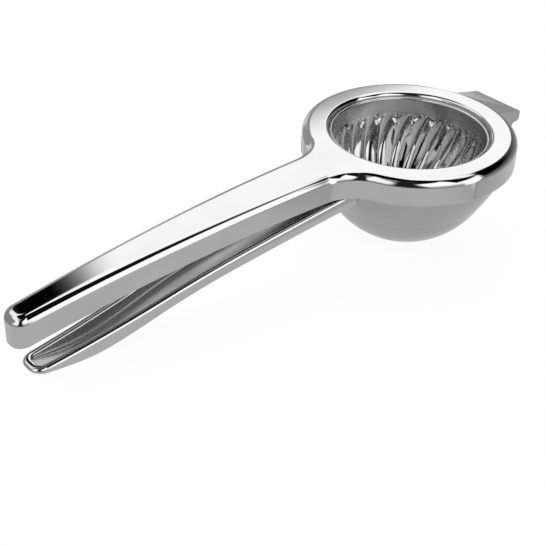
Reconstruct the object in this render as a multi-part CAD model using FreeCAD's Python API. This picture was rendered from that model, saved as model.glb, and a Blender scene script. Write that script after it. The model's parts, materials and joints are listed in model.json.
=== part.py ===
"""A hand-held citrus press: two hinged steel levers, a fluted press cup and a strainer bowl.

The press is drawn closed, about the centre of its ring: X runs from the handles to the
hinge, Z is up and the flat top of the ring is z = 0. place() then lays every piece on the
table, where the press rests on its bowl and on the heel of its lower handle.
"""
import FreeCAD, Part
import math
import os

V = FreeCAD.Vector

# ---- Upper lever: one stamping, a ring and a handle with a skirt all round (mm) ----
ring_radius = 42.0
rim_width = 10.6            # from the outside of the ring to its mouth
sheet = 1.8
skirt_depth = 10.6
edge_round = 3.0
mouth_round = 1.6
mouth_collar = 5.0          # height of the turned-down edge of the mouth
handle_reach = 179.0        # ring centre to the tip of the upper handle
root_half_width = 10.3      # half the handle's width where it leaves the ring
tip_half_width = 5.4
tip_corner = 4.8
neck_fillet = 16.5
bend_start = 48.0           # where the flat top begins to droop
bend_radius = 860.0
skirt_bend_radius = 790.0   # the skirt grows a little deeper towards the tip

# ---- Press cup ----
cup_seat_gap = 0.05
cup_wall = 1.4
cup_band = 6.9              # smooth band between the cup's lip and its flutes
cup_depth = 36.0            # ring top to the outside of the cup's floor
cup_floor_radius = 12.0
flutes = 24
flute_depth = 1.1
flute_twist = 20.0          # degrees that a flute turns on its way down

# ---- Strainer bowl ----
bowl_wall = 1.5
rim_gap = 0.8               # between the bowl's rim and the inside of the skirt
rim_top_gap = 0.7           # between the bowl's rim and the underside of the ring
bowl_flare = 3.9            # the rim stands this much outside the round of the bowl
flare_height = 15.6
flare_bulge = 0.6
drain_hole_radius = 1.6
drain_circles = ((0.0, 1), (7.5, 6), (14.5, 12))   # (circle radius, holes on it)

# ---- Lower handle: a channel open upwards ----
lower_setback = 5.0         # the lower handle ends this much short of the upper one
channel_wall = 2.6
channel_floor = 1.5
channel_gap = 0.75          # below the upper skirt, beside the bowl
channel_depth = 6.05
channel_corner = 1.6
channel_inner_corner = 0.8
# Side view as tangent arcs: (share of the way from ring to tip, downward slope in degrees)
edge_stations = ((0.0, 6.6), (0.40, 8.6), (0.61, 12.0), (1.0, 6.9))
belly_stations = ((0.0, 6.6), (0.40, 8.0), (0.65, 14.8), (0.765, 11.5), (0.87, -1.5), (1.0, -9.5))

# ---- Hinge ----
pin_radius = 2.0
pin_out = 3.0               # pin axis outside the ring
pin_drop = 1.6              # pin axis below the skirt
pin_seat_gap = 0.02
pin_running_gap = 0.05
pin_head_radius = 3.1
pin_head_height = 0.9
washer_thickness = 0.7
bracket_half_width = 11.7
bracket_sheet = 1.6
bracket_reach = 11.0        # outside the ring
bracket_top_drop = 1.3      # top plate below the ring's top, at the ring
bracket_end_drop = 3.8      # and at its far end
bracket_lip = 2.6
cheek_radius = 3.9
knuckle_radius = 3.7
knuckle_side_gap = 0.4
leaf_sheet = 1.8
leaf_foot = 12.0            # how far the leaf runs down the bowl, below the pin

# ---- Places worked out from the sizes ----
mouth_radius = ring_radius - rim_width
rim_radius = ring_radius - sheet - rim_gap
rim_top = -(sheet + rim_top_gap)
bowl_radius = rim_radius - bowl_flare
bowl_centre_z = -skirt_depth
lower_reach = handle_reach - lower_setback
pin_x = ring_radius + pin_out
pin_z = -(skirt_depth + pin_drop)
channel_top = -(skirt_depth + channel_gap)
knuckle_half_width = bracket_half_width - bracket_sheet - knuckle_side_gap
FAR = 400.0                 # longer than the whole press, for cutting blocks


def flat(x, z):
    """A point of a side outline."""
    return V(x, 0.0, z)


def unit(v):
    return v / v.Length


def arc(centre, radius, start, end):
    """The shorter arc about a centre between two directions."""
    middle = unit(start + end)
    return Part.Arc(centre + start * radius, centre + middle * radius, centre + end * radius).toShape()


def line(a, b):
    return Part.LineSegment(a, b).toShape()


def face_of(edges):
    return Part.Face(Part.Wire(Part.__sortEdges__(edges)))


def side_block(edges, half_width):
    """A side outline drawn out to both sides of the middle plane."""
    face = face_of(edges)
    face.translate(V(0.0, -half_width, 0.0))
    return face.extrude(V(0.0, 2.0 * half_width, 0.0))


def side_polygon(points, half_width):
    corners = [flat(*p) for p in points]
    return side_block([line(a, b) for a, b in zip(corners, corners[1:] + corners[:1])], half_width)


def spun(edges):
    """A side outline turned about the ring's axis."""
    return face_of(edges).revolve(V(0, 0, 0), V(0, 0, 1), 360.0)


def disc(radius, top, bottom, x=0.0, y=0.0):
    return Part.makeCylinder(radius, top - bottom, V(x, y, bottom))


def pin_cylinder(radius, y_from, y_to):
    return Part.makeCylinder(radius, y_to - y_from, V(pin_x, y_from, pin_z), V(0, 1, 0))


def above(centre, radius, x):
    """Height of the upper half of a circle at x."""
    return centre.z + math.sqrt(radius ** 2 - (x - centre.x) ** 2)


# ---- The handle's tapered side, seen from above ----
slope = math.atan2(root_half_width - tip_half_width, handle_reach - ring_radius)
along = V(-math.cos(slope), -math.sin(slope), 0.0)
outward = V(-math.sin(slope), math.cos(slope), 0.0)
side_distance = outward.dot(V(-ring_radius, root_half_width, 0.0))


def mirrored(edge):
    return edge.mirror(V(0, 0, 0), V(0, 1, 0))


def tip_edges(inset, reach, start):
    """Side, corner and end of a handle, from a point on its side to the tip."""
    radius = tip_corner - inset
    run = (reach - tip_corner - (side_distance - tip_corner) * math.sin(slope)) / math.cos(slope)
    centre = outward * (side_distance - tip_corner) + along * run
    side = line(start, centre + outward * radius)
    corner = arc(centre, radius, outward, V(-1, 0, 0))
    end = centre + V(-radius, 0, 0)
    return [side, corner, mirrored(side), mirrored(corner), line(end, V(end.x, -end.y, 0.0))]


def lever_outline(inset):
    """Ring, neck fillets and handle seen from above, drawn in by an inset."""
    reach_out = side_distance + neck_fillet
    run = math.sqrt((ring_radius + neck_fillet) ** 2 - reach_out ** 2)
    centre = outward * reach_out + along * run
    neck = arc(centre, neck_fillet + inset, -outward, -unit(centre))
    on_ring = unit(centre) * (ring_radius - inset)
    ring = Part.Arc(on_ring, V(ring_radius - inset, 0, 0), V(on_ring.x, -on_ring.y, 0)).toShape()
    side_start = outward * (side_distance - inset) + along * run
    return face_of([ring, neck, mirrored(neck)] + tip_edges(inset, handle_reach, side_start))


def lever_profile(inset, extra):
    """Side outline of the upper lever: top drawn down by inset, skirt longer by extra."""
    near, far = ring_radius + 5.0, -(handle_reach + 5.0)
    top_centre = flat(-bend_start, -bend_radius)
    low_centre = flat(-bend_start, -skirt_depth - skirt_bend_radius)
    top, low = bend_radius - inset, skirt_bend_radius - extra
    ends = [flat(far, above(top_centre, top, far)), flat(far, above(low_centre, low, far))]
    starts = [flat(-bend_start, -inset), flat(-bend_start, -skirt_depth - extra)]
    bends = [arc(c, r, unit(s - c), unit(e - c)) for c, r, s, e in
             zip((top_centre, low_centre), (top, low), starts, ends)]
    flats = [line(flat(near, s.z), s) for s in starts]
    return side_block(bends + flats + [line(*ends), line(flat(near, starts[0].z), flat(near, starts[1].z))],
                      ring_radius + 5.0)


def lever_blank(inset, extra=0.0):
    """The lever as a solid block with its upper edge rounded."""
    outline = lever_outline(inset)
    outline.translate(V(0, 0, 1.0))
    block = outline.extrude(V(0, 0, -FAR)).common(lever_profile(inset, extra)).removeSplitter()
    centre = flat(-bend_start, -bend_radius)

    def on_top(p):
        level = -inset if p.x > -bend_start else above(centre, bend_radius - inset, p.x)
        return abs(p.z - level) < 0.01

    def is_rim(edge):
        points = edge.discretize(5)
        across = all(abs(p.x + bend_start) < 0.01 for p in points)
        return all(on_top(p) for p in points) and not across

    rim = [e for e in block.Edges if is_rim(e)]
    return block.makeFillet(edge_round - inset, rim)


def upper_lever(blank):
    shell = blank.cut(lever_blank(sheet, 5.0))
    collar = disc(mouth_radius + sheet, -sheet / 2.0, -mouth_collar)
    shell = shell.fuse(collar).cut(disc(mouth_radius, 1.0, -FAR)).removeSplitter()
    mouth = [e for e in shell.Edges if e.BoundBox.ZMax < 0.01 and e.BoundBox.ZMin > -0.01
             and abs(e.BoundBox.XMax - mouth_radius) < 0.01]
    shell = shell.makeFillet(mouth_round, mouth)
    notch = Part.makeBox(2.0 * edge_round + sheet, 2.0 * (bracket_half_width - bracket_sheet), FAR)
    notch.translate(V(ring_radius - sheet - edge_round, -(bracket_half_width - bracket_sheet),
                      -edge_round - sheet / 2.0 - FAR))
    return shell.cut(notch)


# ---- Press cup: a smooth band, then spiral flutes that close on a small floor ----
cup_radius = mouth_radius - cup_seat_gap
cup_top = -mouth_round
flute_top = cup_top - cup_band


def cup_section(share, shrink):
    """One level of the fluted part, from 0 under the band to 1 at the floor."""
    turn = math.pi / 2.0 * share
    floor_radius = cup_floor_radius - shrink
    radius = floor_radius + (cup_radius - shrink - floor_radius) * math.cos(turn)
    z = flute_top - (cup_depth + flute_top - shrink) * math.sin(turn)
    wave = flute_depth * math.sin(math.pi * share) ** 0.5
    points = []
    for i in range(flutes * 6):
        angle = 2.0 * math.pi * i / (flutes * 6)
        swing = math.radians(flute_twist) * share
        r = radius - wave * (1.0 - math.cos(flutes * angle)) / 2.0
        points.append(V(r * math.cos(angle + swing), r * math.sin(angle + swing), z))
    curve = Part.BSplineCurve()
    curve.interpolate(points, PeriodicFlag=True)
    return Part.Wire(curve.toShape())


def cup_body(shrink):
    levels = [cup_section(i / 6.0, shrink) for i in range(7)]
    return Part.makeLoft(levels, True, False)


def press_cup():
    outside = cup_body(0.0).fuse(disc(cup_radius, cup_top, flute_top))
    inside = cup_body(cup_wall).fuse(disc(cup_radius - cup_wall, cup_top + 1.0, flute_top))
    return outside.cut(inside)


# ---- Strainer bowl ----
def bowl_edges(inset):
    """Outside of the bowl from its lowest point up to its rim, drawn in by an inset."""
    low_z = bowl_centre_z - flare_height
    radius = bowl_radius - inset
    low_r = math.sqrt(radius ** 2 - flare_height ** 2)
    rim_r = rim_radius - inset
    centre = flat(0, bowl_centre_z)
    round_part = arc(centre, radius, V(0, 0, -1), unit(flat(low_r, low_z) - centre))
    bulge = flat((low_r + rim_r) / 2.0 + flare_bulge, (low_z + bowl_centre_z) / 2.0)
    flare = Part.Arc(flat(low_r, low_z), bulge, flat(rim_r, bowl_centre_z)).toShape()
    return [round_part, flare], flat(0, bowl_centre_z - radius), flat(rim_r, bowl_centre_z)


def bowl_solid(inset, top):
    edges, bottom, rim = bowl_edges(inset)
    corner = flat(rim.x, top)
    return spun(edges + [line(rim, corner), line(corner, flat(0, top)), line(flat(0, top), bottom)])


def bowl():
    shell = bowl_solid(0.0, rim_top).cut(bowl_solid(bowl_wall, rim_top + 5.0))
    for circle_radius, count in drain_circles:
        for i in range(count):
            angle = 2.0 * math.pi * i / count
            x, y = circle_radius * math.cos(angle), circle_radius * math.sin(angle)
            shell = shell.cut(disc(drain_hole_radius, bowl_centre_z, -FAR, x, y))
    return shell


# ---- Lower handle ----
lower_start = -rim_radius * 0.75
lower_end = -(lower_reach + 0.5)


def side_arcs(start_z, stations):
    """Tangent arcs that droop from the ring to the tip: (radius, start, end), each end (x, z, slope)."""
    x, z, slope_now = -ring_radius, start_z, math.radians(stations[0][1])
    arcs = []
    for share, degrees in stations[1:]:
        end_x = -(ring_radius + share * (lower_reach - ring_radius))
        end_slope = math.radians(degrees)
        radius = (x - end_x) / (math.sin(end_slope) - math.sin(slope_now))
        end_z = z + radius * (math.cos(end_slope) - math.cos(slope_now))
        arcs.append((radius, (x, z, slope_now), (end_x, end_z, end_slope)))
        x, z, slope_now = end_x, end_z, end_slope
    return arcs


def lifted(x, z, slope_there, height):
    """A point of a side curve, moved square to the curve by a height."""
    return flat(x - height * math.sin(slope_there), z + height * math.cos(slope_there))


def side_edges(start_z, stations, height):
    """A drooping side curve lifted by a height, run on straight past both of its ends."""
    arcs = side_arcs(start_z, stations)
    edges = []
    for radius, (x, z, a), (end_x, end_z, b) in arcs:
        middle = (a + b) / 2.0
        mid_x = x - radius * (math.sin(middle) - math.sin(a))
        mid_z = z + radius * (math.cos(middle) - math.cos(a))
        edges.append(Part.Arc(lifted(x, z, a, height), lifted(mid_x, mid_z, middle, height),
                              lifted(end_x, end_z, b, height)).toShape())
    first, last = arcs[0][1], arcs[-1][2]
    near, far = lifted(*first, height), lifted(*last, height)
    start = flat(lower_start, near.z + (lower_start - near.x) * math.tan(first[2]))
    end = flat(lower_end, far.z + (lower_end - far.x) * math.tan(last[2]))
    return edges + [line(start, near), line(far, end)], start, end


def channel_blank(inset, raised):
    """The channel as a block; with an inset, the block that hollows it, raised above its edge."""
    floor = channel_floor if inset else 0.0
    top, top_start, top_end = side_edges(channel_top, edge_stations, raised)
    low, low_start, low_end = side_edges(channel_top - channel_depth, belly_stations, floor)
    profile = side_block(top + low + [line(top_start, low_start), line(top_end, low_end)], ring_radius)
    start = outward * (side_distance - inset) + along * (-lower_start)
    edges = tip_edges(inset, lower_reach, start)
    outline = face_of(edges + [line(start, V(start.x, -start.y, 0.0))])
    outline.translate(V(0, 0, raised + 1.0))
    block = outline.extrude(V(0, 0, -FAR)).common(profile)
    radius = channel_inner_corner if inset else channel_corner
    return block.makeFillet(radius, border(block, -1.0))


def border(block, side):
    """Edges between the underside (side -1) or top (side 1) of a channel and its walls."""
    def faces_that_way(face):
        u0, u1, v0, v1 = face.ParameterRange
        return face.normalAt((u0 + u1) / 2.0, (v0 + v1) / 2.0).z * side > 0.8

    edges = [e for f in block.Faces if faces_that_way(f) for e in f.Edges]
    return [e for e in edges if sum(e.isSame(o) for o in edges) == 1 and e.BoundBox.XMin < lower_start - 0.1]


def lower_handle():
    shell = channel_blank(0.0, 0.0).cut(channel_blank(channel_wall, 5.0))
    return shell.cut(bowl_solid(0.0, 1.0))


# ---- Hinge ----
def bracket_top(x):
    share = (x - ring_radius) / bracket_reach
    return -(bracket_top_drop + (bracket_end_drop - bracket_top_drop) * share)


def hinge_bracket(blank):
    """Folded cap on the ring: a sloping top plate and two cheeks that hold the pin."""
    inner, end = ring_radius - edge_round - 1.0, ring_radius + bracket_reach
    neck_x = pin_x + cheek_radius
    lip = flat(end, bracket_top(end) - bracket_lip)
    throat = flat((end + neck_x) / 2.0, lip.z - 1.6)
    neck = flat(neck_x, throat.z - 1.8)
    pin = flat(pin_x, pin_z)
    left = pin_x - cheek_radius
    edges = [line(flat(inner, bracket_top(inner)), flat(end, bracket_top(end))),
             line(flat(end, bracket_top(end)), lip),
             Part.Arc(lip, flat(end - 0.4, lip.z - 1.1), throat).toShape(),
             Part.Arc(throat, flat(neck_x + 0.4, throat.z - 0.6), neck).toShape(),
             line(neck, flat(neck_x, pin_z)),
             Part.Arc(flat(neck_x, pin_z), pin - flat(0, cheek_radius), flat(left, pin_z)).toShape(),
             line(flat(left, pin_z), flat(left, -skirt_depth)),
             line(flat(left, -skirt_depth), flat(inner, -skirt_depth)),
             line(flat(inner, -skirt_depth), flat(inner, bracket_top(inner)))]
    body = side_block(edges, bracket_half_width)
    inside = side_polygon([(inner - 1.0, bracket_top(inner - 1.0) - bracket_sheet),
                           (end + 1.0, bracket_top(end + 1.0) - bracket_sheet),
                           (end + 1.0, -FAR), (inner - 1.0, -FAR)], bracket_half_width - bracket_sheet)
    seat = pin_cylinder(pin_radius + pin_seat_gap, -FAR, FAR)
    return body.cut(inside).cut(seat).cut(blank)


def hinge_pin():
    """Rivet: a low head outside one cheek and a peened tail over a washer at the other."""
    near, far = -bracket_half_width, bracket_half_width + washer_thickness
    shank = pin_cylinder(pin_radius, near - pin_head_height / 2.0, far + pin_head_height / 2.0)
    heads = [pin_cylinder(pin_head_radius, near - pin_head_height, near),
             pin_cylinder(pin_head_radius, far, far + pin_head_height)]
    rivet = shank.fuse(heads).removeSplitter()
    outer = [e for e in rivet.Edges if min(abs(e.BoundBox.YMin - near + pin_head_height),
                                           abs(e.BoundBox.YMax - far - pin_head_height)) < 0.01
             and e.BoundBox.YLength < 0.01]
    return rivet.makeFillet(pin_head_height * 0.7, outer)


def pin_washer():
    ring = pin_cylinder(pin_head_radius + 0.7, bracket_half_width, bracket_half_width + washer_thickness)
    return ring.cut(pin_cylinder(pin_radius + pin_seat_gap, -FAR, FAR))


def hinge_leaf():
    """Strap welded to the bowl: a foot down its wall, a shelf and a knuckle round the pin."""
    slab = Part.makeBox(FAR, 2.0 * knuckle_half_width, leaf_foot)
    slab.translate(V(0, -knuckle_half_width, pin_z - leaf_foot))
    foot = bowl_solid(-leaf_sheet, rim_top).common(slab)
    shelf_low = pin_z - knuckle_radius
    shelf = side_polygon([(0.5 * rim_radius, shelf_low), (pin_x, shelf_low),
                          (pin_x, shelf_low + leaf_sheet), (0.5 * rim_radius, shelf_low + leaf_sheet)],
                         knuckle_half_width)
    knuckle = pin_cylinder(knuckle_radius, -knuckle_half_width, knuckle_half_width)
    body = foot.fuse([shelf, knuckle]).removeSplitter().cut(bowl_solid(0.0, 1.0))
    return body.cut(pin_cylinder(pin_radius + pin_running_gap, -FAR, FAR))


# ---- How the closed press lies on a table ----
def rest_tilt():
    """Angle that lays the bowl and the heel on one level."""
    radius, (x, z, heel_slope), _ = side_arcs(channel_top - channel_depth, belly_stations)[-1]
    heel_radius = -radius
    span = lifted(x, z, heel_slope, heel_radius) - flat(0, bowl_centre_z)
    facing = math.atan2(span.x, span.z)
    return facing + math.acos((heel_radius - bowl_radius) / span.Length)


def placement():
    tilt = -math.degrees(rest_tilt())
    turn = FreeCAD.Placement(V(0, 0, 0), FreeCAD.Rotation(V(0, 1, 0), tilt))
    lift = bowl_radius - turn.multVec(flat(0, bowl_centre_z)).z
    return turn, lift


def build():
    blank = lever_blank(0.0)
    return {"upper_lever": upper_lever(blank), "press_cup": press_cup(),
            "hinge_bracket": hinge_bracket(blank), "hinge_pin": hinge_pin(),
            "pin_washer": pin_washer(), "bowl": bowl(), "lower_handle": lower_handle(),
            "hinge_leaf": hinge_leaf()}


def main():
    os.makedirs("parts", exist_ok=True)
    pieces = build()
    turn, lift = placement()
    for shape in pieces.values():
        shape.Placement = turn.multiply(shape.Placement)
    boxes = [shape.optimalBoundingBox() for shape in pieces.values()]
    middle = (min(b.XMin for b in boxes) + max(b.XMax for b in boxes)) / 2.0
    for name, shape in pieces.items():
        shape.translate(V(-middle, 0, lift))
        shape.exportStep("parts/" + name + ".step")
        print(name, "solids", len(shape.Solids), "valid", shape.isValid(), "volume %.1f" % shape.Volume)
    pin = turn.multVec(flat(pin_x, pin_z)) + V(-middle, 0, lift)
    print("tilt %.5f deg, middle %.5f, lift %.5f" % (math.degrees(rest_tilt()), middle, lift))
    print("pin axis", tuple(round(c, 5) for c in pin))


main()
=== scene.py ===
# %% [markdown]
# # A hand-held citrus press in mirror-polished steel
# The press is two levers on one rivet. The upper lever is a stamped ring and handle that
# carries a fluted cup, and the lower lever is a strainer bowl on a channel-shaped handle.
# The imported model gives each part's place and motion. This script gives the parts their
# finish, cell by cell. A mirror shows every small error of a surface, so the large parts
# are drawn again here as smooth meshes, from the same driving sizes as the model.

# %% Load the frame
import json
import math

import bmesh
import bpy
from mathutils import Matrix, Vector


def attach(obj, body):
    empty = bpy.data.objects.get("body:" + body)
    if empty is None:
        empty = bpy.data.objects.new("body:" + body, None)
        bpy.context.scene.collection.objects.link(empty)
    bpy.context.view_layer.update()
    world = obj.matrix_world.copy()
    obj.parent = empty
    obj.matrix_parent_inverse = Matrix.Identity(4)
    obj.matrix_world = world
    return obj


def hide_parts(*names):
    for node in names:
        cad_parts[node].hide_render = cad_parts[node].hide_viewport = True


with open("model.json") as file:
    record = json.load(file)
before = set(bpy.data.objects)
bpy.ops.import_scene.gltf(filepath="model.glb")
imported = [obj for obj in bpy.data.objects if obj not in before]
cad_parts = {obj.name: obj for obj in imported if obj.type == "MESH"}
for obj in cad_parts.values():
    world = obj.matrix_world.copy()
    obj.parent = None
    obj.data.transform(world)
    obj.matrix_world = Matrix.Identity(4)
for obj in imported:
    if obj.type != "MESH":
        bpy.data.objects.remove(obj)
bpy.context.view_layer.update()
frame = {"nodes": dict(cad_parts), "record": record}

# %% [markdown]
# ## The press's own axes
# The lid of a closed press is not level, because it rests on its bowl and on the heel of
# the lower handle. Drawing it tilted would make every formula harder. So each part is
# drawn in millimetres about the centre of the ring, with the flat top at z = 0, and one
# matrix then lays the finished mesh down. The mount on the ring gives that matrix.

# %% Matrix from the press's axes to the frame
MOUNT_SIDE = 0.037      # the mount sits on the flat of the ring, this far to one side
MM = 0.001
mount = next(m for m in frame["record"]["mounts"] if m["name"] == "ring_top")
ring_axis = Vector(mount["axis"]).normalized()
ring_centre = Vector(mount["pos_m"]) - Vector((0, MOUNT_SIDE, 0))
lie = Matrix((Vector((ring_axis.z, 0, -ring_axis.x)), Vector((0, 1, 0)), ring_axis)).transposed()
LAY_DOWN = Matrix.Translation(ring_centre) @ lie.to_4x4() @ Matrix.Scale(MM, 4)
print("the ring leans by", round(math.degrees(math.asin(-ring_axis.x)), 2), "degrees")

# %% Driving sizes of the press, in millimetres
RING_RADIUS = 42.0
RIM_WIDTH = 10.6            # outside of the ring to its mouth
SHEET = 1.8                 # thickness of the stamping
SKIRT = 10.6                # depth of the skirt
EDGE_ROUND = 3.0
MOUTH_ROUND = 1.6
COLLAR = 5.0                # turned-down edge of the mouth
REACH = 179.0               # ring centre to the tip of the upper handle
ROOT_HALF, TIP_HALF = 10.3, 5.4
TIP_CORNER = 4.8
NECK_FILLET = 16.5
BEND_START, BEND_RADIUS, SKIRT_BEND = 48.0, 860.0, 790.0
BOWL_WALL = 1.5
RIM_RADIUS = RING_RADIUS - SHEET - 0.8
RIM_TOP = -(SHEET + 0.7)
BOWL_RADIUS = RIM_RADIUS - 3.9
BOWL_CENTRE = -SKIRT
FLARE_HEIGHT, FLARE_BULGE = 15.6, 0.6
LOWER_REACH = 174.0
CHANNEL_TOP = -(SKIRT + 0.75)
MOUTH_RADIUS = RING_RADIUS - RIM_WIDTH
SUPPORT = 0.05              # a row this close to a tangent line keeps flats flat
print("mouth", MOUTH_RADIUS, "mm, bowl rim", RIM_RADIUS, "mm")

# %% [markdown]
# ## How a mirror surface is meshed
# Smooth shading blends the normals of neighbouring faces. Where a flat meets a rounding,
# that blend would bend the reflections in the flat. An extra row of points just beside
# each tangent line keeps the blend inside a strip too narrow to see. Every large part
# below is made of columns: cross-sections of the wall, one at each point of its outline.

# %% Helpers: columns to a mesh, and a mesh to a finished piece
def quarter(steps):
    """Angles of a quarter turn, both ends included."""
    return [math.pi / 2 * i / steps for i in range(steps + 1)]


def strip(bm, columns, closed=True):
    """Joins neighbouring columns of vertices with quads."""
    ends = columns[1:] + columns[:1] if closed else columns[1:]
    for one, two in zip(columns, ends):
        for a, b, c, d in zip(one, one[1:], two[1:], two):
            bm.faces.new((a, b, c, d))


def spin(bm, profile, steps):
    """Turns (radius, height) points about the ring's axis; a point on the axis is a pole."""
    columns = []
    poles = {i: bm.verts.new((0, 0, z)) for i, (r, z) in enumerate(profile) if r < 1e-6}
    for k in range(steps):
        c, s = math.cos(2 * math.pi * k / steps), math.sin(2 * math.pi * k / steps)
        columns.append([poles.get(i) or bm.verts.new((r * c, r * s, z)) for i, (r, z) in enumerate(profile)])
    for one, two in zip(columns, columns[1:] + columns[:1]):
        for a, b, c, d in zip(one, one[1:], two[1:], two):
            corners = list(dict.fromkeys((a, b, c, d)))
            bm.faces.new(corners)
    return columns


def finish_mesh(bm, name, sharp=35.0):
    """Faces outwards, smooth but for true corners."""
    bmesh.ops.remove_doubles(bm, verts=bm.verts, dist=1e-4)
    bmesh.ops.recalc_face_normals(bm, faces=bm.faces)
    mesh = bpy.data.meshes.new(name)
    bm.to_mesh(mesh)
    bm.free()
    return smooth(mesh, sharp)


def smooth(mesh, sharp=35.0):
    mesh.shade_smooth()
    mesh.set_sharp_from_angle(angle=math.radians(sharp))
    return mesh


def add_piece(mesh, name, body, slot, *nodes):
    """A finished mesh becomes a piece that stands for its CAD nodes and rides on a body."""
    piece = bpy.data.objects.new(name, mesh)
    bpy.context.scene.collection.objects.link(piece)
    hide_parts(*nodes)
    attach(piece, body)
    print(name, len(mesh.polygons), "faces")
    return piece


# %% [markdown]
# ## Nodes written as arithmetic
# A formula made of Math nodes is long to build by hand. The small class below lets a
# socket be used like a number, and each sum or product adds one node to the tree. The
# fluted cup, the studio and the steel all use it.

# %% A socket that can be added and multiplied
def math_node(tree, operation, *values):
    node = tree.nodes.new("ShaderNodeMath")
    node.operation = operation
    for slot, value in zip(node.inputs, values):
        if isinstance(value, Field):
            tree.links.new(value.socket, slot)
        else:
            slot.default_value = value
    return Field(tree, node.outputs[0])


class Field:
    """A number that varies over a shape or over the sky."""

    def __init__(self, tree, socket):
        self.tree, self.socket = tree, socket

    def __add__(self, other):
        return math_node(self.tree, "ADD", self, other)

    def __sub__(self, other):
        return math_node(self.tree, "SUBTRACT", self, other)

    def __rsub__(self, other):
        return math_node(self.tree, "SUBTRACT", other, self)

    def __mul__(self, other):
        return math_node(self.tree, "MULTIPLY", self, other)

    __radd__, __rmul__ = __add__, __mul__

    def of(self, operation, *others):
        return math_node(self.tree, operation, self, *others)

    def ramp(self, start, end, soft=False):
        """0 before start, 1 after end, and in between a line or a soft curve."""
        node = self.tree.nodes.new("ShaderNodeMapRange")
        node.interpolation_type = "SMOOTHSTEP" if soft else "LINEAR"
        self.tree.links.new(self.socket, node.inputs["Value"])
        for socket, value in (("From Min", start), ("From Max", end)):
            if isinstance(value, Field):
                self.tree.links.new(value.socket, node.inputs[socket])
            else:
                node.inputs[socket].default_value = value
        return Field(self.tree, node.outputs["Result"])


# %% [markdown]
# ## Polished steel
# Stainless steel from a polishing wheel is a tinted mirror, so it is fully metallic, and
# nearly all of its look is what it reflects. It isn't perfect: the wheel leaves a haze
# that comes and goes over centimetres, and hair-fine lines that only bend a highlight.
# Both are noise on Object coordinates, so they keep their real size on every part.

# %% The steel material
def noise(tree, place, scale, detail):
    node = tree.nodes.new("ShaderNodeTexNoise")
    node.inputs["Scale"].default_value = scale
    node.inputs["Detail"].default_value = detail
    tree.links.new(place, node.inputs["Vector"])
    return Field(tree, node.outputs["Fac"])


def stretched(tree, place, scale):
    node = tree.nodes.new("ShaderNodeMapping")
    node.inputs["Scale"].default_value = scale
    tree.links.new(place, node.inputs["Vector"])
    return node.outputs["Vector"]


def polished_steel(name, bright, dull, haze=(0.02, 0.06), lines=(0.25, 6.0, 6.0), bump=0.004):
    """Steel whose colour goes from bright to dull, and whose roughness varies with haze."""
    material = bpy.data.materials.new(name)
    material.use_nodes = True
    tree = material.node_tree
    shader = tree.nodes["Principled BSDF"]
    shader.inputs["Metallic"].default_value = 1.0
    place = tree.nodes.new("ShaderNodeTexCoord").outputs["Object"]
    clouds = noise(tree, place, 60.0, 3.0).ramp(0.35, 0.7)
    tint = tree.nodes.new("ShaderNodeMix")
    tint.data_type = "RGBA"
    tint.inputs["A"].default_value = (*bright, 1.0)
    tint.inputs["B"].default_value = (*dull, 1.0)
    tree.links.new(clouds.socket, tint.inputs["Factor"])
    tree.links.new(tint.outputs["Result"], shader.inputs["Base Color"])
    hair = noise(tree, stretched(tree, place, lines), 400.0, 4.0)
    low, high = haze
    rough = clouds * (0.6 * (high - low)) + hair * (0.4 * (high - low)) + low
    tree.links.new(rough.socket, shader.inputs["Roughness"])
    relief = tree.nodes.new("ShaderNodeBump")
    relief.inputs["Strength"].default_value = bump
    relief.inputs["Distance"].default_value = 0.00002
    tree.links.new(hair.socket, relief.inputs["Height"])
    tree.links.new(relief.outputs["Normal"], shader.inputs["Normal"])
    return material


LEVER_STEEL = polished_steel("lever_mirror_steel", (0.62, 0.62, 0.62), (0.58, 0.58, 0.585))
CUP_STEEL = polished_steel("cup_chrome_steel", (0.55, 0.55, 0.55), (0.5, 0.5, 0.505))
BAND_STEEL = polished_steel("cup_band_steel", (0.62, 0.62, 0.62), (0.58, 0.58, 0.585), haze=(0.2, 0.3))
SATIN_STEEL = polished_steel("satin_steel", (0.56, 0.56, 0.56), (0.53, 0.53, 0.535), haze=(0.3, 0.42))
# The bowl's colour is written darker than the lever's. This is painted shade for the press's shadow on the floor
# below, which the bowl would show in its reflection. Its rougher haze is the bowl's own satin finish.
BOWL_STEEL_WITH_PAINTED_SHADE = polished_steel("bowl_satin_steel_painted_shade", (0.50, 0.50, 0.50), (0.46, 0.46, 0.465), haze=(0.1, 0.2))
RIVET_STEEL = polished_steel("rivet_turned_steel", (0.6, 0.6, 0.6), (0.5, 0.5, 0.505), haze=(0.12, 0.25))
print("steels:", [m.name for m in bpy.data.materials])

# %% [markdown]
# ## The camera
# It looks down on the press from beyond the tip of the handle, a little rolled, from about
# half a metre away. Its place is worked out in the press's own axes and then laid down
# with the press.

# %% Camera
CAMERA_TURN, CAMERA_RISE, CAMERA_ROLL = -41.364, 34.095, -1.916     # degrees
CAMERA_DISTANCE, CAMERA_LEFT, CAMERA_DOWN = 467.6, 53.3, 56.5       # mm from the ring's centre
LENS = 79.12


def camera_matrix():
    turn, rise, roll = (math.radians(a) for a in (CAMERA_TURN, CAMERA_RISE, CAMERA_ROLL))
    back = Vector((math.sin(turn) * math.cos(rise), -math.cos(turn) * math.cos(rise), math.sin(rise)))
    level = Vector((0, 0, 1)).cross(back).normalized()
    upright = back.cross(level)
    right = level * math.cos(roll) - upright * math.sin(roll)
    up = level * math.sin(roll) + upright * math.cos(roll)
    place = back * CAMERA_DISTANCE - right * CAMERA_LEFT - up * CAMERA_DOWN
    facing = Matrix((right, up, back)).transposed().to_4x4()
    laid = LAY_DOWN @ Matrix.Translation(place) @ facing
    return Matrix.LocRotScale(laid.translation, laid.to_quaternion(), None)


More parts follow.
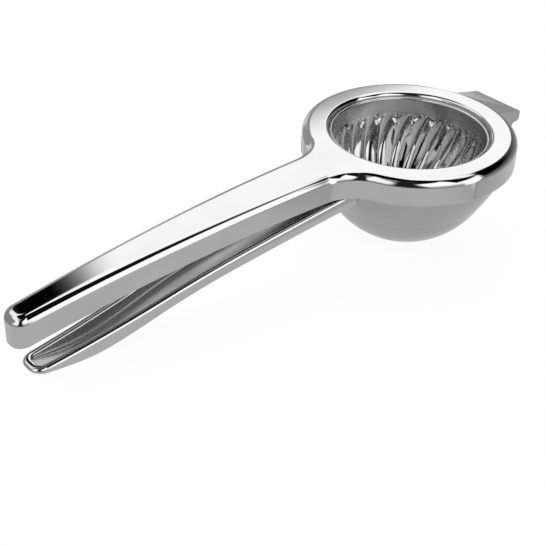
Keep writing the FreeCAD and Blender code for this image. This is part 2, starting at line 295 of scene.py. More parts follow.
camera = bpy.data.objects.new("camera", bpy.data.cameras.new("camera"))
camera.data.lens = LENS
camera.data.clip_start = 0.01
camera.matrix_world = camera_matrix()
bpy.context.scene.collection.objects.link(camera)
bpy.context.scene.camera = camera
print("camera at", [round(c, 3) for c in camera.matrix_world.translation], "m")

# %% [markdown]
# ## The outline of a lever
# Seen from above, the upper lever is one closed line: the ring, a hollow fillet on each
# side of the neck, two tapering sides and a rounded tip. Each point of the line knows the
# direction that faces out of the metal there, so drawing the line in by any distance is
# one subtraction, and a rounded edge is a few such lines at falling heights.

# %% Outline points with their outward directions
TAPER = math.atan2(ROOT_HALF - TIP_HALF, REACH - RING_RADIUS)
ALONG = Vector((-math.cos(TAPER), -math.sin(TAPER)))
OUTWARD = Vector((-math.sin(TAPER), math.cos(TAPER)))
SIDE = OUTWARD.dot(Vector((-RING_RADIUS, ROOT_HALF)))


def arc_points(centre, radius, start, end, steps, hollow=False):
    """Points of an arc from one angle to another; a hollow arc faces its own centre."""
    points = []
    for i in range(steps + 1):
        angle = start + (end - start) * i / steps
        way = Vector((math.cos(angle), math.sin(angle)))
        points.append((centre + way * radius, -way if hollow else way))
    return points


def tip_points(reach, start, steps):
    """Side and tip corner of a handle, from a point on its side."""
    run = (reach - TIP_CORNER - (SIDE - TIP_CORNER) * math.sin(TAPER)) / math.cos(TAPER)
    centre = OUTWARD * (SIDE - TIP_CORNER) + ALONG * run
    end = centre + OUTWARD * TIP_CORNER
    side = [(start.lerp(end, i / steps), OUTWARD) for i in range(steps)]
    return side + arc_points(centre, TIP_CORNER, math.pi / 2 + TAPER, math.pi, 14)


def lever_half():
    """The far half of the upper lever's outline, from the hinge round to the tip."""
    reach_out = SIDE + NECK_FILLET
    run = math.sqrt((RING_RADIUS + NECK_FILLET) ** 2 - reach_out ** 2)
    centre = OUTWARD * reach_out + ALONG * run
    neck = math.atan2(centre.y, centre.x)
    ring = arc_points(Vector((0, 0)), RING_RADIUS, 0.0, neck, 150)
    hollow = arc_points(centre, NECK_FILLET, neck - math.pi, TAPER - math.pi / 2, 30, hollow=True)
    return ring[:-1] + hollow[:-1] + tip_points(REACH, OUTWARD * SIDE + ALONG * run, 60)


def mirrored(half):
    return [(Vector((p.x, -p.y)), Vector((n.x, -n.y))) for p, n in half]


print("taper of the handle:", round(math.degrees(TAPER), 2), "degrees a side")

# %% [markdown]
# ## The upper lever
# A single stamping: flat on the ring, gently drooping along the handle, with a skirt all
# round. Subdivision would swell the flats, so the wall's section is placed exactly: the
# flat, the rounded edge, the skirt, its rolled lower edge and the inside. Cross-bars span
# the handle, and the flat of the ring is filled between its rounding and its mouth.

# %% Section of the upper lever
NOTCH_HALF = 10.1           # the skirt stops here, between the cheeks of the hinge
NOTCH_TOP = -3.9
BURR = 0.35                 # rounding of the skirt's lower edge


def droop(x, radius, level=0.0):
    """Height of a line that is level at first and then bends down on a large radius."""
    past = max(0.0, -BEND_START - x)
    return level - radius + math.sqrt(radius ** 2 - past ** 2)


def lever_column(point, way):
    """Points of the wall's section, from the flat top over the skirt to the inside."""
    inner = EDGE_ROUND - SHEET
    rows = [(EDGE_ROUND + SUPPORT, "top", 0.0)]
    rows += [(EDGE_ROUND * (1 - math.sin(t)), "top", EDGE_ROUND * (1 - math.cos(t))) for t in quarter(14)]
    rows += [(0.0, "top", EDGE_ROUND + SUPPORT), (0.0, "low", -BURR - SUPPORT)]
    rows += [(BURR * (1 - math.cos(t)), "low", -BURR * (1 - math.sin(t))) for t in quarter(4)]
    rows += [(SHEET - BURR * (1 - math.sin(t)), "low", -BURR * (1 - math.cos(t))) for t in quarter(4)]
    rows += [(SHEET, "low", -BURR - SUPPORT), (SHEET, "top", EDGE_ROUND + SUPPORT)]
    rows += [(SHEET + inner * (1 - math.cos(t)), "top", SHEET + inner * (1 - math.sin(t))) for t in quarter(4)]
    rows += [(EDGE_ROUND + SUPPORT, "top", SHEET)]
    column = []
    for inset, side, drop in rows:
        p = point - way * inset
        low = droop(p.x, SKIRT_BEND, -SKIRT)
        if side == "low" and point.x > 0 and abs(point.y) < NOTCH_HALF:
            low = NOTCH_TOP
        column.append(Vector((p.x, p.y, (droop(p.x, BEND_RADIUS) if side == "top" else low) - drop)))
    return column


def collar_profile():
    """Section of the mouth's turned-down edge, from the flat to the underside."""
    rows = [(MOUTH_RADIUS + MOUTH_ROUND + SUPPORT, 0.0)]
    rows += [(MOUTH_RADIUS + MOUTH_ROUND * (1 - math.sin(t)), -MOUTH_ROUND * (1 - math.cos(t))) for t in quarter(12)]
    rows += [(MOUTH_RADIUS, -MOUTH_ROUND - SUPPORT), (MOUTH_RADIUS, -COLLAR + BURR)]
    rows += [(MOUTH_RADIUS + SHEET, -COLLAR + BURR), (MOUTH_RADIUS + SHEET, -SHEET)]
    rows[-2:-2] = [(MOUTH_RADIUS + BURR * (1 - math.cos(t)), -COLLAR + BURR * (1 - math.sin(t))) for t in quarter(3)]
    rows[-2:-2] = [(MOUTH_RADIUS + SHEET - BURR * (1 - math.sin(t)), -COLLAR + BURR * (1 - math.cos(t)))
                   for t in quarter(3)]
    return rows


# %% Build the upper lever
def ladder(bm, near, far, row, flip=False):
    """Cross-bars between two matching runs of columns, at one row of each."""
    for a, b, c, d in zip(near, near[1:], far[1:], far):
        bm.faces.new((a[row], b[row], c[row], d[row]))


def fill_between(bm, columns, split, far, circle, row, circle_row):
    """Fills the flat between the ring's rounding and its mouth."""
    loop = [c[row] for c in columns[:split + 1]] + [c[row] for c in reversed(far[1:split + 1])]
    edges = [bm.edges.get(pair) or bm.edges.new(pair) for pair in zip(loop, loop[1:] + loop[:1])]
    mouth = [c[circle_row] for c in circle]
    edges += [bm.edges.get(pair) for pair in zip(mouth, mouth[1:] + mouth[:1])]
    bmesh.ops.triangle_fill(bm, use_beauty=True, edges=edges)


def upper_lever_mesh():
    bm = bmesh.new()
    half = lever_half()
    jump = next(i for i, (p, n) in enumerate(half) if p.y > NOTCH_HALF)
    near_edge, far_edge = (point_on_ring(NOTCH_HALF + d) for d in (-0.005, 0.005))
    half[jump:jump] = [near_edge, far_edge]
    columns = [[bm.verts.new(v) for v in lever_column(*place)] for place in half]
    far = [columns[0]] + [[bm.verts.new(v) for v in lever_column(*place)] for place in mirrored(half)[1:]]
    strip(bm, columns + far[:0:-1])
    split = next(i for i, c in enumerate(columns) if c[0].co.x < -BEND_START) - 1
    ladder(bm, columns[split:], far[split:], 0)
    ladder(bm, columns[split:], far[split:], -1)
    circle = spin(bm, collar_profile(), 256)
    fill_between(bm, columns, split, far, circle, 0, 0)
    fill_between(bm, columns, split, far, circle, -1, -1)
    return finish_mesh(bm, "upper_lever_polished")


def point_on_ring(y):
    way = Vector((math.sqrt(RING_RADIUS ** 2 - y ** 2), y)) / RING_RADIUS
    return way * RING_RADIUS, way


lever_mesh = upper_lever_mesh()
lever_mesh.transform(LAY_DOWN)
lever_mesh.materials.append(LEVER_STEEL)
add_piece(lever_mesh, "upper_lever_polished", "press_lever", "lever_steel", "upper_lever")

# %% [markdown]
# ## The bowl
# The lower bowl is spun from sheet: a half ball that flares out to a straight rim. It is a
# solid of revolution, so its section is turned about the axis. The drain holes repeat on
# two circles round a middle one. Geometry Nodes set a drill at each place and cut them all
# in one go, so the number and size of the holes stay inputs.

# %% Section of the bowl
def circle_through(a, b, c):
    """Centre and radius of the circle through three points of a section."""
    ab, ac = b - a, c - a
    cross = 2 * (ab.x * ac.y - ab.y * ac.x)
    offset = Vector((ac.y * ab.dot(ab) - ab.y * ac.dot(ac), ab.x * ac.dot(ac) - ac.x * ab.dot(ab))) / cross
    return a + offset, offset.length


def bowl_curve(inset, steps=40):
    """Section of the bowl from its pole to its rim, drawn in by inset."""
    radius, rim = BOWL_RADIUS - inset, RIM_RADIUS - inset
    low_z = BOWL_CENTRE - FLARE_HEIGHT
    low = Vector((math.sqrt(radius ** 2 - FLARE_HEIGHT ** 2), low_z))
    bulge = Vector(((low.x + rim) / 2 + FLARE_BULGE, (low_z + BOWL_CENTRE) / 2))
    top = Vector((rim, BOWL_CENTRE))
    turn = math.atan2(low.x, FLARE_HEIGHT)
    curve = [Vector((radius * math.sin(turn * i / steps), BOWL_CENTRE - radius * math.cos(turn * i / steps)))
             for i in range(steps)]
    curve[0].x = 0.0
    centre, size = circle_through(low, bulge, top)
    start, end = (math.atan2(p.y - centre.y, p.x - centre.x) for p in (low, top))
    return curve + [centre + size * Vector((math.cos(start + (end - start) * i / steps),
                                            math.sin(start + (end - start) * i / steps)))
                    for i in range(steps + 1)]


def bowl_radius_at(z):
    """Outer radius of the bowl at a height."""
    if z >= BOWL_CENTRE:
        return RIM_RADIUS
    curve = bowl_curve(0.0)
    above = next(i for i, p in enumerate(curve) if p.y >= z)
    a, b = curve[above - 1], curve[above]
    return a.x + (b.x - a.x) * (z - a.y) / (b.y - a.y)


def bowl_profile():
    lip = BOWL_WALL / 2
    outside = [(p.x, p.y) for p in bowl_curve(0.0)]
    inside = [(p.x, p.y) for p in bowl_curve(BOWL_WALL)]
    over = [(RIM_RADIUS - lip * (1 - math.cos(t * 2)), RIM_TOP - lip * (1 - math.sin(t * 2))) for t in quarter(10)]
    return outside + over + inside[::-1]


# %% Node tree that drills the drain holes
def new_tree(name, inputs):
    """A Geometry Nodes tree with named inputs and one geometry output."""
    tree = bpy.data.node_groups.new(name, "GeometryNodeTree")
    tree.interface.new_socket("Geometry", in_out="INPUT", socket_type="NodeSocketGeometry")
    for label, kind in inputs:
        tree.interface.new_socket(label, in_out="INPUT", socket_type="NodeSocket" + kind)
    tree.interface.new_socket("Geometry", in_out="OUTPUT", socket_type="NodeSocketGeometry")
    return tree, tree.nodes.new("NodeGroupInput"), tree.nodes.new("NodeGroupOutput")


def run_tree(tree, mesh, values):
    """Runs a tree on a mesh with these input values and returns a plain mesh, laid down."""
    maker = bpy.data.objects.new(tree.name, mesh)
    bpy.context.scene.collection.objects.link(maker)
    modifier = maker.modifiers.new(tree.name, "NODES")
    modifier.node_group = tree
    for item in tree.interface.items_tree:
        if item.in_out == "INPUT" and item.name in values:
            modifier[item.identifier] = values[item.name]
    bpy.context.view_layer.update()
    evaluated = maker.evaluated_get(bpy.context.evaluated_depsgraph_get())
    made = bpy.data.meshes.new_from_object(evaluated)
    maker.modifiers.remove(modifier)
    bpy.data.objects.remove(maker)
    made.transform(LAY_DOWN)
    return made


def drill_tree():
    tree, given, result = new_tree("drain_holes", [
        ("Hole Radius", "Float"), ("Inner Circle", "Float"), ("Inner Holes", "Int"),
        ("Outer Circle", "Float"), ("Outer Holes", "Int"), ("Material", "Material")])
    link = tree.links.new
    places = tree.nodes.new("GeometryNodeJoinGeometry")
    for radius, count in (("Inner Circle", "Inner Holes"), ("Outer Circle", "Outer Holes")):
        circle = tree.nodes.new("GeometryNodeMeshCircle")
        link(given.outputs[radius], circle.inputs["Radius"])
        link(given.outputs[count], circle.inputs["Vertices"])
        link(circle.outputs["Mesh"], places.inputs["Geometry"])
    middle = tree.nodes.new("GeometryNodePoints")
    link(middle.outputs["Points"], places.inputs["Geometry"])
    drill = tree.nodes.new("GeometryNodeMeshCylinder")
    drill.inputs["Vertices"].default_value = 32
    drill.inputs["Depth"].default_value = BOWL_RADIUS
    link(given.outputs["Hole Radius"], drill.inputs["Radius"])
    each = tree.nodes.new("GeometryNodeInstanceOnPoints")
    link(places.outputs["Geometry"], each.inputs["Points"])
    link(drill.outputs["Mesh"], each.inputs["Instance"])
    lower = tree.nodes.new("GeometryNodeTransform")
    lower.inputs["Translation"].default_value = (0, 0, BOWL_CENTRE - BOWL_RADIUS)
    link(each.outputs["Instances"], lower.inputs["Geometry"])
    real = tree.nodes.new("GeometryNodeRealizeInstances")
    link(lower.outputs["Geometry"], real.inputs["Geometry"])
    cut = tree.nodes.new("GeometryNodeMeshBoolean")
    cut.operation = "DIFFERENCE"
    link(given.outputs["Geometry"], cut.inputs["Mesh 1"])
    link(real.outputs["Geometry"], cut.inputs["Mesh 2"])
    finish = tree.nodes.new("GeometryNodeSetMaterial")
    link(cut.outputs["Mesh"], finish.inputs["Geometry"])
    link(given.outputs["Material"], finish.inputs["Material"])
    link(finish.outputs["Geometry"], result.inputs["Geometry"])
    return tree


# %% Build the bowl
def bowl_mesh():
    bm = bmesh.new()
    spin(bm, bowl_profile(), 192)
    blank = finish_mesh(bm, "bowl_blank")
    return run_tree(drill_tree(), blank, {
        "Hole Radius": 1.6, "Inner Circle": 7.5, "Inner Holes": 6,
        "Outer Circle": 14.5, "Outer Holes": 12, "Material": BOWL_STEEL_WITH_PAINTED_SHADE})


bowl_piece = add_piece(smooth(bowl_mesh()), "strainer_bowl", "lower_lever", "bowl_steel", "bowl")

# %% [markdown]
# ## The press cup
# The cup is a smooth band with spiral flutes below it, which close on a small flat floor.
# Its shape is one rule in two numbers, the way round and the way down, so Geometry Nodes
# bend a plain grid into it. The way down starts at the floor outside, climbs to the lip
# and goes down again inside, which makes the wall and both faces in one closed skin.

# %% Node tree of the cup
CUP_WALL = 1.4
CUP_RADIUS = MOUTH_RADIUS - 0.05
CUP_TOP = -MOUTH_ROUND
CUP_INPUTS = {"Flutes": 24, "Flute Depth": 2.0, "Twist": 20.0, "Radius": CUP_RADIUS, "Floor Radius": 12.0,
              "Depth": 36.0, "Wall": CUP_WALL, "Band": 6.9}
LIP_END, BAND_END, FLUTE_END = 0.06, 0.16, 0.94     # shares of the way down
BAND_FOOT = CUP_TOP - 6.9 + 0.1


def cup_tree():
    tree, given, result = new_tree("fluted_cup", [(label, "Float") for label in CUP_INPUTS]
                                   + [("Flute Steel", "Material"), ("Band Steel", "Material")])
    link = tree.links.new
    size = {label: Field(tree, given.outputs[label]) for label in CUP_INPUTS}
    grid = tree.nodes.new("GeometryNodeMeshGrid")
    for label, value in (("Size X", 1.0), ("Size Y", 2.0), ("Vertices X", 24 * 20 + 1), ("Vertices Y", 161)):
        grid.inputs[label].default_value = value
    split = tree.nodes.new("ShaderNodeSeparateXYZ")
    link(tree.nodes.new("GeometryNodeInputPosition").outputs[0], split.inputs[0])
    way_round = Field(tree, split.outputs["X"]) * (2 * math.pi)
    way_down = Field(tree, split.outputs["Y"])
    inner, down = way_down.of("SIGN"), way_down.of("ABSOLUTE")
    lip, band = down.ramp(0.0, LIP_END) * (math.pi / 2), down.ramp(LIP_END, BAND_END)
    share, floor = down.ramp(BAND_END, FLUTE_END), down.ramp(FLUTE_END, 1.0)
    turn = share * (math.pi / 2)
    half = size["Wall"] * 0.5
    edge = size["Radius"] - half - inner * half * lip.of("SINE")
    floor_radius = size["Floor Radius"] - half - inner * half
    radius = floor_radius + (edge - floor_radius) * turn.of("COSINE")
    fall = size["Depth"] + (CUP_TOP - half) - size["Band"] - inner * half
    height = CUP_TOP - half * (1.0 - lip.of("COSINE")) - band * (size["Band"] - half) - fall * turn.of("SINE")
    phase = (way_round * size["Flutes"]) * 0.5
    ridge = phase.of("COSINE").of("ABSOLUTE")
    arch = (share * 7.0 - (1.0 - ridge) * 0.45).ramp(0.0, 0.2, soft=True)
    close = (share * math.pi).of("SINE").of("MAXIMUM", 0.0).of("SQRT")
    flute = size["Flute Depth"] * arch * close * (1.0 - ridge)
    reach = (radius - flute) * (1.0 - floor)
    swing = way_round + share * size["Twist"] * (math.pi / 180)
    place = tree.nodes.new("ShaderNodeCombineXYZ")
    for axis, value in (("X", reach * swing.of("COSINE")), ("Y", reach * swing.of("SINE")), ("Z", height)):
        link(value.socket, place.inputs[axis])
    bend = tree.nodes.new("GeometryNodeSetPosition")
    link(grid.outputs["Mesh"], bend.inputs["Geometry"])
    link(place.outputs[0], bend.inputs["Position"])
    weld = tree.nodes.new("GeometryNodeMergeByDistance")
    weld.inputs["Distance"].default_value = 0.002
    link(bend.outputs["Geometry"], weld.inputs["Geometry"])
    real = tree.nodes.new("GeometryNodeRealizeInstances")
    link(weld.outputs["Geometry"], real.inputs["Geometry"])
    keep = tree.nodes.new("GeometryNodeSetMaterial")
    link(real.outputs["Geometry"], keep.inputs["Geometry"])
    link(given.outputs["Flute Steel"], keep.inputs["Material"])
    middle = tree.nodes.new("ShaderNodeSeparateXYZ")
    link(tree.nodes.new("GeometryNodeInputPosition").outputs[0], middle.inputs[0])
    above = Field(tree, middle.outputs["Z"]).of("GREATER_THAN", BAND_FOOT)
    last = tree.nodes.new("GeometryNodeSetMaterial")
    link(keep.outputs["Geometry"], last.inputs["Geometry"])
    link(given.outputs["Band Steel"], last.inputs["Material"])
    link(above.socket, last.inputs["Selection"])
    link(last.outputs["Geometry"], result.inputs["Geometry"])
    return tree


# %% Build the cup
def outward(mesh, sharp):
    """Turns all faces outwards on a closed mesh and shades it."""
    bm = bmesh.new()
    bm.from_mesh(mesh)
    bmesh.ops.recalc_face_normals(bm, faces=bm.faces)
    bm.to_mesh(mesh)
    bm.free()
    return smooth(mesh, sharp)


cup_mesh = run_tree(cup_tree(), bpy.data.meshes.new("cup_start"), {**CUP_INPUTS, "Flute Steel": CUP_STEEL, "Band Steel": BAND_STEEL})
add_piece(outward(cup_mesh, 50.0), "fluted_press_cup", "press_lever", "cup_steel", "press_cup")

# %% [markdown]
# ## The lower handle
# A channel that is open upwards: thick walls with a rolled rim, and a belly that swells
# towards the palm and closes like a spoon at the tip. Its side view is a chain of arcs that
# meet without a corner, given by the slope where each arc ends.

# %% Side curves of the lower handle
EDGE_STATIONS = ((0.0, 6.6), (0.40, 8.6), (0.61, 12.0), (1.0, 6.9))     # share of the way, slope in degrees
BELLY_STATIONS = ((0.0, 6.6), (0.40, 8.0), (0.65, 14.8), (0.765, 11.5), (0.87, -1.5), (1.0, -9.5))
CHANNEL_DEPTH, CHANNEL_WALL, CHANNEL_FLOOR = 6.05, 2.6, 1.5
CHANNEL_CORNER, CHANNEL_HOLLOW, RIM_ROUND = 1.6, 1.8, 1.2
INSIDE_ROWS = len(list(quarter(8))) + 2      # from the foot of the rim to the floor


def side_curve(start_z, stations):
    """Height as a function of x for arcs that meet at the slopes given."""
    arcs = []
    x, z, slope = -RING_RADIUS, start_z, math.radians(stations[0][1])
    for share, degrees in stations[1:]:
        end_x, end = -(RING_RADIUS + share * (LOWER_REACH - RING_RADIUS)), math.radians(degrees)
        radius = (x - end_x) / (math.sin(end) - math.sin(slope))
        arcs.append((x, z, slope, radius))
        x, z, slope = end_x, z + radius * (math.cos(end) - math.cos(slope)), end

    def height(at):
        if at > -RING_RADIUS:
            return start_z + (at + RING_RADIUS) * math.tan(arcs[0][2])
        ax, az, a, r = [arc for arc in arcs if at <= arc[0]][-1]
        return az + r * (math.cos(math.asin(math.sin(a) + (ax - at) / r)) - math.cos(a))

    return height


rim_height = side_curve(CHANNEL_TOP, EDGE_STATIONS)
belly_height = side_curve(CHANNEL_TOP - CHANNEL_DEPTH, BELLY_STATIONS)
print("wall at the tip:", round(rim_height(-LOWER_REACH) - belly_height(-LOWER_REACH), 2), "mm high")


# %% Section of the lower handle
def channel_column(point, way):
    """Points of the wall's section, from the belly over the rim to the floor inside."""
    p = point
    rim, belly = rim_height(p.x), belly_height(p.x)
    corner, roll = min(CHANNEL_CORNER, 0.5 * (rim - belly)), min(RIM_ROUND, 0.45 * (rim - belly))
    floor = belly + CHANNEL_FLOOR
    hollow = min(CHANNEL_HOLLOW, 0.5 * max(rim - floor, 0.1))
    roll_in = min(roll, 0.45 * max(rim - floor, 0.1))
    rows = [(corner + SUPPORT, belly_height, 0.0)]
    rows += [(corner * (1 - math.sin(t)), belly_height, corner * (1 - math.cos(t))) for t in quarter(8)]
    rows += [(roll * (1 - math.cos(t)), rim_height, -roll * (1 - math.sin(t))) for t in quarter(8)]
    rows += [(CHANNEL_WALL - roll * (1 - math.sin(t)), rim_height, -roll_in * (1 - math.cos(t))) for t in quarter(8)]
    rows += [(CHANNEL_WALL + hollow * (1 - math.cos(t)), belly_height, CHANNEL_FLOOR + hollow * (1 - math.sin(t)))
             for t in quarter(8)]
    rows += [(CHANNEL_WALL + hollow + SUPPORT, belly_height, CHANNEL_FLOOR)]
    places = [point - way * inset for inset, curve, lift in rows]
    return [Vector((q.x, q.y, curve(q.x) + lift)) for q, (inset, curve, lift) in zip(places, rows)]


def weld_to_bowl(column):
    """Moves the first section onto the bowl, half way into its wall."""
    for v in column:
        reach = bowl_radius_at(v.z) - BOWL_WALL / 2
        v.x = -math.sqrt(reach ** 2 - v.y ** 2)
    return column


# %% Build the lower handle
def lower_handle_mesh():
    bm = bmesh.new()
    start = OUTWARD * SIDE + ALONG * (RING_RADIUS - 1.0)
    half = tip_points(LOWER_REACH, start, 70)
    sections = [channel_column(*place) for place in half]
    sections[0] = weld_to_bowl(sections[0])
    columns = [[bm.verts.new(v) for v in s] for s in sections]
    far = [[bm.verts.new((v.x, -v.y, v.z)) for v in s] for s in sections]
    strip(bm, columns + far[::-1], closed=False)
    ladder(bm, columns, far, 0)
    ladder(bm, columns, far, -1)
    bm.faces.new(columns[0] + far[0][::-1])
    inside = {v for column in columns + far for v in column[-INSIDE_ROWS:]}
    for face in bm.faces:
        face.material_index = int(inside.issuperset(face.verts))
    return finish_mesh(bm, "lower_handle_polished")


handle_mesh = lower_handle_mesh()
handle_mesh.transform(LAY_DOWN)
handle_mesh.materials.append(LEVER_STEEL)
handle_mesh.materials.append(SATIN_STEEL)
add_piece(handle_mesh, "lower_handle_polished", "lower_lever", "lever_steel", "lower_handle")

# %% [markdown]
# ## The hinge
# The bracket, the leaf, the rivet and its washer are small parts with true corners. Their
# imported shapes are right, and only their edges are too sharp for pressed steel. A copy of
# each is welded from its loose triangles, cleared of the edges inside its flats, and
# bevelled. Building them again by hand would add nothing that shows.

# %% Soften the edges of the hinge parts
def softened(node, name, body, slot, material, bevel, segments=3):
    mesh = frame["nodes"][node].data.copy()
    bm = bmesh.new()
    bm.from_mesh(mesh)
    bmesh.ops.remove_doubles(bm, verts=bm.verts, dist=1e-6)
    bmesh.ops.dissolve_limit(bm, angle_limit=math.radians(0.5), verts=bm.verts, edges=bm.edges)
    bm.to_mesh(mesh)
    bm.free()
    mesh.materials.clear()
    mesh.materials.append(material)
    piece = add_piece(smooth(mesh), name, body, slot, node)
    rounding = piece.modifiers.new("edges", "BEVEL")
    rounding.width = bevel * MM
    rounding.segments = segments
    rounding.limit_method = "ANGLE"
    rounding.angle_limit = math.radians(35.0)
    rounding.harden_normals = True
    return piece


softened("hinge_bracket", "bracket_cap", "press_lever", "lever_steel", SATIN_STEEL, 0.35)
softened("hinge_leaf", "hinge_leaf_strap", "lower_lever", "lever_steel", SATIN_STEEL, 0.3)
softened("hinge_pin", "hinge_rivet", "press_lever", "rivet_steel", RIVET_STEEL, 0.12)
softened("pin_washer", "rivet_washer", "press_lever", "rivet_steel", RIVET_STEEL, 0.12)

# %% [markdown]
# ## The studio
# A mirror is only as good as the room round it. A photographer of cutlery builds that room
# from white sheets, grey card and black flags, and each one shows as a band along a rounded
# edge. Lamps would light this scene but give the mirrors nothing to show. So the room is a
# sky: each sheet is a window in azimuth and elevation, painted over the last one. Azimuth 0
# is +X and 90 is +Y. The camera's own rays see plain white instead.

# %% Directions of the sky
world = bpy.data.worlds.new("studio")
bpy.context.scene.world = world
world.use_nodes = True
sky_tree = world.node_tree
direction = sky_tree.nodes.new("ShaderNodeSeparateXYZ")
sky_tree.links.new(sky_tree.nodes.new("ShaderNodeTexCoord").outputs["Generated"], direction.inputs[0])
east, north, upward = (Field(sky_tree, direction.outputs[axis]) for axis in "XYZ")
azimuth = north.of("ARCTAN2", east) * (180 / math.pi)
elevation = upward.of("ARCSINE") * (180 / math.pi)


def window(value, low, high, blur):
    """1 between low and high, with both edges blurred."""
    opened = value.ramp(low - blur, low + blur, soft=True)
    return opened * (1.0 - value.ramp(high - blur, high + blur, soft=True))


def turned(middle):
    """Azimuth from this middle, from -180 to 180."""
    return (azimuth - middle).of("WRAP", 180.0, -180.0)


def paint(sky, level, mask):
    return sky + (level - sky) * mask


# %% Sheets, card and flags, from the back layer to the front one
# name: level, azimuth from and to, its blur, elevation from and to, its blur
SHEETS = {
    "ground card": (0.65, -180, 180, 0, -95, -28, 1.0),
    "side card": (0.35, 82, 180, 4, -28, 32, 3.0),
    "side sheet": (1.4, 82, 180, 4, 32, 57, 5.0),
    "roof flag": (0.0, -181, 181, 0, 57, 95, 3.0),
    "far low card": (0.4, 35, 95, 2, -28, 40, 1.5),
    "far low strip": (0.85, 62, 74, 4, -28, 18, 8.0),
    "thin strip": (1.3, 38, 40.5, 0.7, -20, 27, 3.0),
    "overhead sheet": (1.6, -46, 71, 9, 58, 95, 2.0),
}


def sheet_mask(az_from, az_to, az_blur, el_from, el_to, el_blur):
    rows = window(elevation, el_from, el_to, el_blur)
    if az_to - az_from >= 360:
        return rows
    middle, half = (az_from + az_to) / 2, (az_to - az_from) / 2
    return rows * window(turned(middle), -half, half, az_blur)


sky = Field(sky_tree, sky_tree.nodes.new("ShaderNodeValue").outputs[0]) * 0.0 + 0.5
for level, *place in SHEETS.values():
    sky = paint(sky, level, sheet_mask(*place))
print(len(SHEETS), "sheets hung")

# %% The far wall, the tip flag and the dark doorway
wall_foot = elevation - turned(43.0) * 0.36 - 27.3
sky = paint(sky, 1.5, window(azimuth, 20.0, 71.0, 3.5) * wall_foot.ramp(-1.0, 1.0, soft=True)
            * (1.0 - elevation.ramp(60.0, 66.0)))
sky = paint(sky, 0.0, window(azimuth, 72.5, 82.0, 3.0) * wall_foot.ramp(-1.0, 1.0, soft=True))

DOOR_MIDDLE, DOOR_HALF, DOOR_TOP, DOOR_FOOT = -8.5, 45.5, 57.5, -28.0


def door(grow):
    """The inside of an arched doorway, drawn larger by a factor."""
    across = (turned(DOOR_MIDDLE).of("ABSOLUTE") * (1 / (grow * DOOR_HALF))).of("POWER", 3.0)
    upright = (elevation.of("MAXIMUM", 0.0) * (1 / (grow * DOOR_TOP))).of("POWER", 3.0)
    return (1.0 - (across + upright).ramp(0.93, 1.07, soft=True)) * elevation.ramp(DOOR_FOOT - 1, DOOR_FOOT + 1)


# %% The slanted sheets on the camera's side
top_line = (azimuth + 80.0) * 0.65 + 26.0
right_top = (azimuth + 130.0) * 0.8 + 30.0
nearer = azimuth.ramp(-90.0, -86.0)
above_left = elevation - (right_top + (top_line - right_top) * nearer)
left_sheet = window(azimuth, -127.0, -46.0, 4.0) * (1.0 - above_left.ramp(-4.0, 4.0, soft=True))
sky = paint(sky, 1.65, left_sheet * elevation.ramp(-27.5, -26.5))
low_left = 1.0 - (azimuth + elevation * 0.3).ramp(-81.0, -76.0)
low_left = low_left * (1.0 - elevation.ramp(-22.0, 12.0)) * elevation.ramp(-28.0, -27.0)
sky = paint(sky, 0.25, low_left)
left_flag = window(azimuth, -180.0, -56.0, 8.0) * elevation.ramp(56.0, 60.0)
left_shade = azimuth.ramp(-131.0, -128.0) * (1.0 - azimuth.ramp(-58.0, -24.0)) * (1.0 - elevation.ramp(54.0, 72.0))
left_flag = left_flag.of("MAXIMUM", left_shade)
left_flag = left_flag.of("MAXIMUM", window(azimuth, -128.0, -40.0, 3.0) * (1.0 - elevation.ramp(48.0, 58.0)))
sky = paint(sky, 0.0, left_flag * above_left.ramp(-4.0, 4.0, soft=True) * (1.0 - elevation.ramp(80.0, 88.0)))
spread = azimuth - (20.0 - elevation.of("MINIMUM", 20.0)) * 0.4
dark_column = azimuth.ramp(-155.0, -146.0) * (1.0 - spread.ramp(-131.0, -121.0))
sky = paint(sky, 0.02, dark_column * elevation.ramp(-27.0, -14.0))
back_top = (-150.0 - azimuth.of("MINIMUM", -130.0)) + 28.0
back_sheet = window(turned(-166.0), -25.0, 16.0, 5.0) * window(elevation - back_top, -90.0, 0.0, 6.0)
sky = paint(sky, 1.5, back_sheet * elevation.ramp(-18.0, 5.0))
on_left = 1.0 - azimuth.ramp(-42.0, -36.0)
sky = paint(sky, 0.42, door(1.07) * on_left * (1.0 - elevation.ramp(32.0, 42.0)))
depth = elevation - turned(DOOR_MIDDLE) * 0.25
door_level = (1.0 - depth.ramp(3.0, 38.0, soft=True)) * 0.27 + (1.0 - depth.ramp(-26.0, 5.0)) * 0.38
sky = paint(sky, door_level, door(1.0))
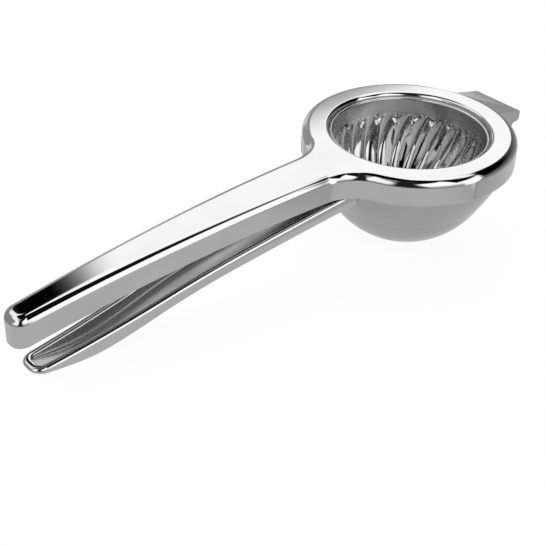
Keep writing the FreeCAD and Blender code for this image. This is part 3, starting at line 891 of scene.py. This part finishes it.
print("sky nodes:", len(sky_tree.nodes))

# %% Light the world with it
background = sky_tree.nodes["Background"]
background.inputs["Color"].default_value = (1, 1, 1, 1)
sight = Field(sky_tree, sky_tree.nodes.new("ShaderNodeLightPath").outputs["Is Camera Ray"])
sky_tree.links.new(paint(sky, 1.0, sight).socket, background.inputs["Strength"])

# %% [markdown]
# ## The floor
# The floor is plain and pale. It mostly glows for the camera, so that it meets the white
# background without an edge, and the rest of it is matt, which keeps the press's shadow.

# %% Floor
FLOOR_HALF, FLOOR_GLOW, GLOW_STRENGTH = 3.0, 0.8, 1.14


def floor_material():
    material = bpy.data.materials.new("studio_floor")
    material.use_nodes = True
    tree = material.node_tree
    matt = tree.nodes["Principled BSDF"]
    matt.inputs["Base Color"].default_value = (0.82, 0.82, 0.82, 1.0)
    matt.inputs["Roughness"].default_value = 0.9
    glow = tree.nodes.new("ShaderNodeEmission")
    glow.inputs["Strength"].default_value = GLOW_STRENGTH
    mix = tree.nodes.new("ShaderNodeMixShader")
    seen = Field(tree, tree.nodes.new("ShaderNodeLightPath").outputs["Is Camera Ray"])
    tree.links.new((seen * FLOOR_GLOW).socket, mix.inputs["Fac"])
    tree.links.new(matt.outputs[0], mix.inputs[1])
    tree.links.new(glow.outputs[0], mix.inputs[2])
    tree.links.new(mix.outputs[0], tree.nodes["Material Output"].inputs["Surface"])
    return material


floor_mesh = bpy.data.meshes.new("floor")
corners = [(-FLOOR_HALF, -FLOOR_HALF), (FLOOR_HALF, -FLOOR_HALF), (FLOOR_HALF, FLOOR_HALF), (-FLOOR_HALF, FLOOR_HALF)]
floor_mesh.from_pydata([(x, y, 0.0) for x, y in corners], [], [(0, 1, 2, 3)])
floor_mesh.materials.append(floor_material())
floor = bpy.data.objects.new("floor", floor_mesh)
bpy.context.scene.collection.objects.link(floor)
floor.visible_glossy = False        # the sky's ground card stands for it in the mirrors
print("floor", 2 * FLOOR_HALF, "m across")

# %% View settings
bpy.context.scene.view_settings.view_transform = "Standard"
